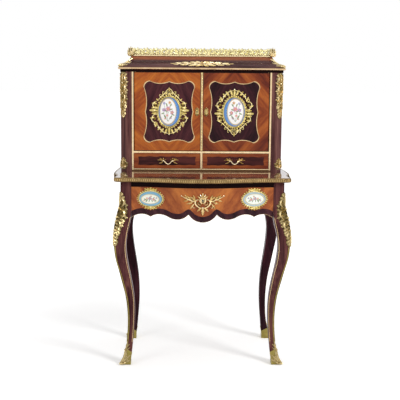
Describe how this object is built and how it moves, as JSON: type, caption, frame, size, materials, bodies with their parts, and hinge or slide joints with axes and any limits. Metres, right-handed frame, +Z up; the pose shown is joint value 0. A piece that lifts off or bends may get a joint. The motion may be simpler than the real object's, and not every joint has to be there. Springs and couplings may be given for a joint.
{
  "type": "bonheur du jour",
  "caption": "Lady's writing table on cabriole legs with a bowed drawer and a set-back cabinet with panel doors, small drawers, hood and pierced gilt gallery.",
  "frame": {"origin": "centre of the bounding box on the floor", "axes": "+X to the right of someone facing the doors, +Y to the back, +Z up"},
  "size_m": [0.722, 0.482, 1.289],
  "materials": {
    "amaranth": "french polished dark veneer",
    "tulipwood": "french polished veneer",
    "oak": "plain waxed lining wood",
    "gilt": "chased and gilded bronze",
    "porcelain": "glazed porcelain with a painted border and flowers",
    "steel": "filed lock steel"
  },
  "bodies": {
    "carcase": {"front_leg_left": "amaranth", "front_leg_right": "amaranth", "back_leg_left": "amaranth", "back_leg_right": "amaranth", "sabots": "gilt", "knee_mounts": "gilt", "side_rails": "amaranth", "back_rail": "oak", "top_rail": "amaranth", "drawer_runners": "oak", "table_top": "amaranth", "table_edge_moulding": "gilt", "cabinet_bottom": "oak", "drawer_divider": "oak", "cabinet_ceiling": "amaranth", "pivot_sockets": "gilt", "cabinet_sides": "amaranth", "cabinet_back": "oak", "corner_post_left": "amaranth", "corner_post_right": "amaranth", "drawer_partition": "oak", "small_drawer_guides": "oak", "shelf_bearers": "oak", "shelf": "oak", "post_mounts_upper": "gilt", "post_mounts_lower": "gilt", "cabinet_filets": "gilt", "cornice_board": "amaranth", "cornice_moulding": "gilt", "hood": "amaranth", "hood_mounts": "gilt", "gallery": "gilt"},
    "left_door": {"left_door": "tulipwood", "left_door_pivots": "gilt", "left_door_trim": "gilt", "left_door_plaque": "porcelain", "left_door_plaque_frame": "gilt", "left_door_escutcheon": "gilt"},
    "right_door": {"right_door": "tulipwood", "right_door_pivots": "gilt", "right_door_trim": "gilt", "right_door_plaque": "porcelain", "right_door_plaque_frame": "gilt", "right_door_escutcheon": "gilt", "door_lock": "steel"},
    "door_lock_bolt": {"door_lock_bolt": "steel"},
    "frieze_drawer": {"frieze_drawer_front": "tulipwood", "frieze_drawer_box": "oak", "frieze_plaques": "porcelain", "frieze_plaque_frames": "gilt", "frieze_escutcheon": "gilt", "frieze_lock": "steel"},
    "frieze_lock_bolt": {"frieze_lock_bolt": "steel"},
    "left_drawer": {"left_drawer_front": "tulipwood", "left_drawer_box": "oak", "left_drawer_pull": "gilt"},
    "right_drawer": {"right_drawer_front": "tulipwood", "right_drawer_box": "oak", "right_drawer_pull": "gilt"}
  },
  "joints": [
    {"name": "left_door_hinge", "type": "hinge", "parent": "carcase", "child": "left_door", "pos_m": [-0.2764, 0.043, 1.023], "axis": [0, 0, -1], "range_deg": [0, 90]},
    {"name": "right_door_hinge", "type": "hinge", "parent": "carcase", "child": "right_door", "pos_m": [0.2764, 0.043, 1.023], "axis": [0, 0, 1], "range_deg": [0, 90]},
    {"name": "door_bolt_slide", "type": "slide", "parent": "right_door", "child": "door_lock_bolt", "axis": [-1, 0, 0], "range_m": [0, 0.014]},
    {"name": "frieze_drawer_slide", "type": "slide", "parent": "carcase", "child": "frieze_drawer", "axis": [0, -1, 0], "range_m": [0, 0.22]},
    {"name": "frieze_bolt_slide", "type": "slide", "parent": "frieze_drawer", "child": "frieze_lock_bolt", "axis": [0, 0, 1], "range_m": [0, 0.008]},
    {"name": "left_drawer_slide", "type": "slide", "parent": "carcase", "child": "left_drawer", "axis": [0, -1, 0], "range_m": [0, 0.11]},
    {"name": "right_drawer_slide", "type": "slide", "parent": "carcase", "child": "right_drawer", "axis": [0, -1, 0], "range_m": [0, 0.11]}
  ]
}
